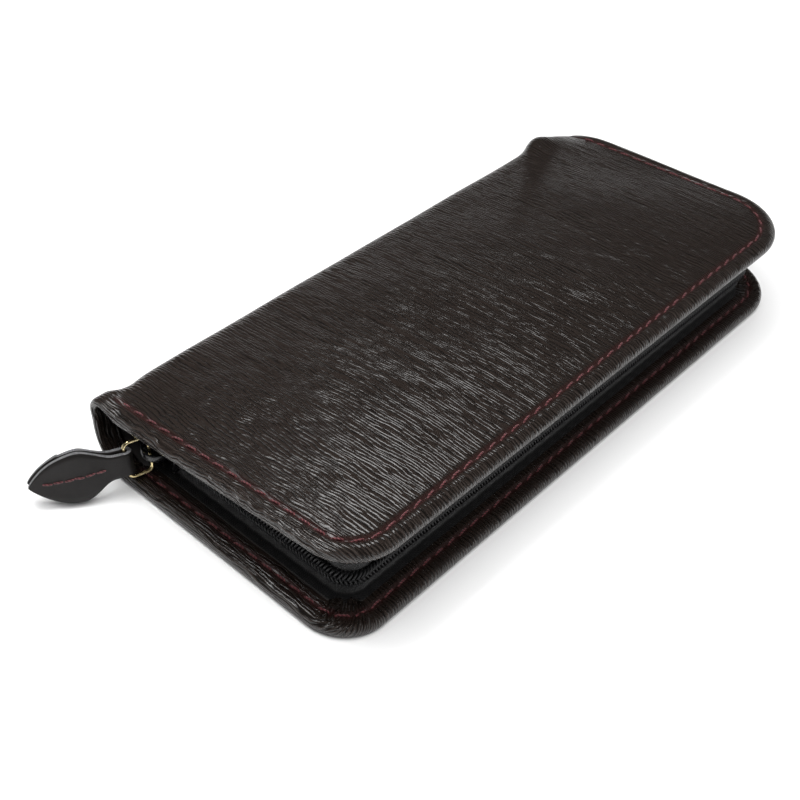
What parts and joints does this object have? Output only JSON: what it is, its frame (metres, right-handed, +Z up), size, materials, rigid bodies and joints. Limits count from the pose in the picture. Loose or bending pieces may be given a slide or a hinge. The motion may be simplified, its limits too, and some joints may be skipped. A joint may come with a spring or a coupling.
{
  "type": "glasses organizer case",
  "caption": "Slim zip-around leather case for two pairs of glasses, opening like a book, with a pocket on each cover and a leaf-shaped leather pull.",
  "frame": {"origin": "middle of the case on the plane it lies on, midway between its two ends and between the zip side and the spine", "axes": "+X along the spine, towards the end with the zip's bottom stop; +Y towards the spine; +Z up, through the upper cover"},
  "size_m": [0.2111, 0.0823, 0.0267],
  "materials": {
    "leather": "very dark brown leather pressed with a fine rippled grain, soft satin sheen",
    "leaf_leather": "smooth very dark brown leather with raw grey edges",
    "binding": "thin smooth dark brown leather tape",
    "lining": "matte short-nap microfibre",
    "thread": "twisted polyester thread, slight sheen",
    "zip_tape": "woven herringbone tape",
    "zip_teeth": "moulded nylon coil",
    "slider_metal": "black lacquered metal",
    "brass": "polished pale gold plate",
    "foam": "open-cell foam sheet",
    "board": "stiffener board"
  },
  "bodies": {
    "base": {"base_leather": "leather", "base_padding": "foam", "base_board": "board", "base_lining": "lining", "base_thread": "thread", "base_pocket": "lining", "base_pocket_binding": "binding", "base_tape": "zip_tape", "base_teeth": "zip_teeth", "base_top_stop": "slider_metal", "zip_bottom_stop": "slider_metal"},
    "spine": {"spine_leather": "leather", "spine_lining": "lining"},
    "lid": {"lid_leather": "leather", "lid_padding": "foam", "lid_board": "board", "lid_lining": "lining", "lid_thread": "thread", "lid_pocket": "lining", "lid_pocket_binding": "binding", "lid_tape": "zip_tape", "lid_teeth": "zip_teeth", "lid_top_stop": "slider_metal"},
    "slider": {"slider_body": "slider_metal", "slider_bail": "slider_metal"},
    "link": {"pull_link": "brass"},
    "leaf": {"pull_leaf": "leaf_leather", "pull_thread": "thread"}
  },
  "joints": [
    {"name": "spine_fold", "type": "hinge", "parent": "base", "child": "spine", "pos_m": [0, 0.03885, 0.00215], "axis": [-1, 0, 0], "range_deg": [0, 86]},
    {"name": "lid_fold", "type": "hinge", "parent": "spine", "child": "lid", "pos_m": [0, 0.04, 0.0174], "axis": [-1, 0, 0], "range_deg": [0, 86]},
    {"name": "zip_slide", "type": "slide", "parent": "base", "child": "slider", "axis": [0, -1, 0], "range_m": [0, 0.045]},
    {"name": "link_swing", "type": "hinge", "parent": "slider", "child": "link", "pos_m": [-0.0907, 0.0258, 0.0093], "axis": [0, -0.2588, -0.9659], "range_deg": [-50, 8]},
    {"name": "leaf_swing", "type": "hinge", "parent": "link", "child": "leaf", "pos_m": [-0.09615, 0.02772, 0.00879], "axis": [0, -0.2588, -0.9659], "range_deg": [-35, 6]}
  ],
  "couplings": [
    {"joint": "lid_fold", "follows": "spine_fold", "ratio": 1}
  ]
}
